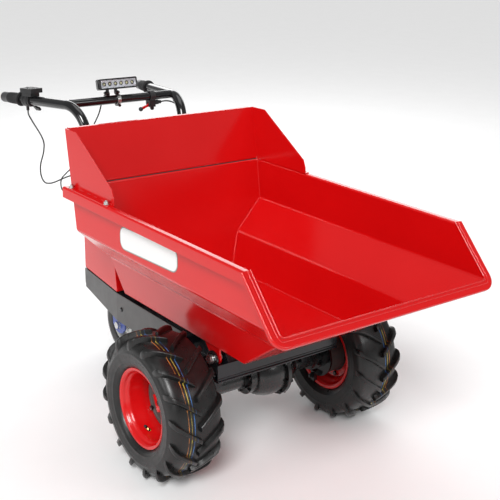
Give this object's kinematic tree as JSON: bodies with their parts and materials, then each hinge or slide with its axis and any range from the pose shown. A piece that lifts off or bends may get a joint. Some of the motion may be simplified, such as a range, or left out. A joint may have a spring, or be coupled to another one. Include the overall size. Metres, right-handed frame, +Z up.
{
  "type": "power wheelbarrow",
  "caption": "Battery powered wheelbarrow: tipping steel tray with headboard on a chassis with lugged drive wheels in front, a swivel wheel behind and a handlebar with controls and work lamp.",
  "frame": {"origin": "on the ground under the middle of the whole machine's bounding box", "axes": "+X forwards towards the dumping lip, +Y to the machine's left, +Z up"},
  "size_m": [1.6738, 0.8178, 0.9932],
  "materials": {
    "red_paint": "glossy powder coat",
    "slate_paint": "satin powder coat",
    "black_paint": "satin powder coat",
    "grey_sheet": "satin powder coat",
    "zinc": "bright zinc plate",
    "cast_iron": "rough black casting",
    "tyre_rubber": "matt tread rubber",
    "grip_rubber": "matt ribbed rubber",
    "black_plastic": "fine grained moulding",
    "grey_plastic": "smooth moulding",
    "blue_paint": "gloss enamel",
    "battery_case": "moulded case",
    "aluminium": "cast heat sink",
    "display": "dark display window",
    "lens": "clear lens",
    "cable": "smooth sheath"
  },
  "bodies": {
    "chassis": {"rail_right": "slate_paint", "rail_left": "slate_paint", "front_beam": "slate_paint", "cross_members": "slate_paint", "pivot_brackets": "black_paint", "pivot_pins": "zinc", "axle_housing": "cast_iron", "housing_bolts": "black_paint", "drive_motor": "black_paint", "brake_backs": "black_paint", "skirt": "grey_sheet", "frame_brackets": "slate_paint", "skirt_screws": "black_paint", "battery_cover": "red_paint", "cable_fittings": "black_plastic", "battery_pack": "battery_case", "motor_controller": "aluminium", "caster_plate": "zinc", "tube_right": "black_paint", "tube_left": "black_paint", "crossbar": "black_paint", "grip_right": "grip_rubber", "grip_left": "grip_rubber", "control_pod": "black_plastic", "display_glass": "display", "lever_body": "black_plastic", "lamp_bracket": "black_paint", "throttle_lead": "cable", "lamp_lead": "cable", "release_cable": "cable"},
    "tray": {"side_right": "red_paint", "side_left": "red_paint", "hopper_right": "red_paint", "hopper_left": "red_paint", "rear_wall": "red_paint", "tray_floor": "red_paint", "mouth_frame": "red_paint", "headboard": "red_paint", "headboard_bolts": "zinc", "tray_ears": "red_paint"},
    "swivel_fork": {"caster_fork": "blue_paint", "caster_axle": "zinc"},
    "swivel_wheel": {"caster_tyre": "tyre_rubber", "caster_rim": "zinc"},
    "wheel_right": {"tyre_right": "tyre_rubber", "rim_right": "red_paint", "hub_right": "cast_iron", "wheel_bolts_right": "black_paint", "valve_right": "black_plastic"},
    "wheel_left": {"tyre_left": "tyre_rubber", "rim_left": "red_paint", "hub_left": "cast_iron", "wheel_bolts_left": "black_paint", "valve_left": "black_plastic"},
    "throttle": {"throttle_lever": "black_plastic"},
    "button": {"pod_button": "grey_plastic"},
    "release": {"release_lever": "red_paint", "lever_knob": "black_plastic"},
    "lamp": {"lamp_frame": "black_paint", "lamp_lens": "lens"}
  },
  "joints": [
    {"name": "tray_tip", "type": "hinge", "parent": "chassis", "child": "tray", "pos_m": [0.35325, 0, 0.345], "axis": [0, 1, 0], "range_deg": [0, 60]},
    {"name": "wheel_right_spin", "type": "hinge", "parent": "chassis", "child": "wheel_right", "pos_m": [0.27325, -0.33, 0.212], "axis": [0, 1, 0], "continuous": true},
    {"name": "wheel_left_spin", "type": "hinge", "parent": "chassis", "child": "wheel_left", "pos_m": [0.27325, 0.33, 0.212], "axis": [0, 1, 0], "continuous": true},
    {"name": "fork_swivel", "type": "hinge", "parent": "chassis", "child": "swivel_fork", "pos_m": [-0.41375, 0, 0.28], "axis": [0, 0, 1], "continuous": true},
    {"name": "swivel_wheel_roll", "type": "hinge", "parent": "swivel_fork", "child": "swivel_wheel", "pos_m": [-0.46375, 0, 0.125], "axis": [0, 1, 0], "continuous": true},
    {"name": "throttle_press", "type": "hinge", "parent": "chassis", "child": "throttle", "pos_m": [-0.68839, -0.24037, 0.90785], "axis": [-0.9813, -0.186, -0.0493], "range_deg": [0, 32], "stiffness_Nm_per_rad": 0.4},
    {"name": "button_press", "type": "slide", "parent": "chassis", "child": "button", "axis": [0.0484, 0.0092, -0.9988], "range_m": [0, 0.0025], "stiffness_N_per_m": 400},
    {"name": "release_pull", "type": "hinge", "parent": "chassis", "child": "release", "pos_m": [-0.48975, 0.107, 0.892], "axis": [1, 0, 0], "range_deg": [0, 35], "stiffness_Nm_per_rad": 0.8},
    {"name": "lamp_tilt", "type": "hinge", "parent": "chassis", "child": "lamp", "pos_m": [-0.48875, -0.018, 0.944], "axis": [0, 1, 0], "range_deg": [-20, 25]}
  ]
}
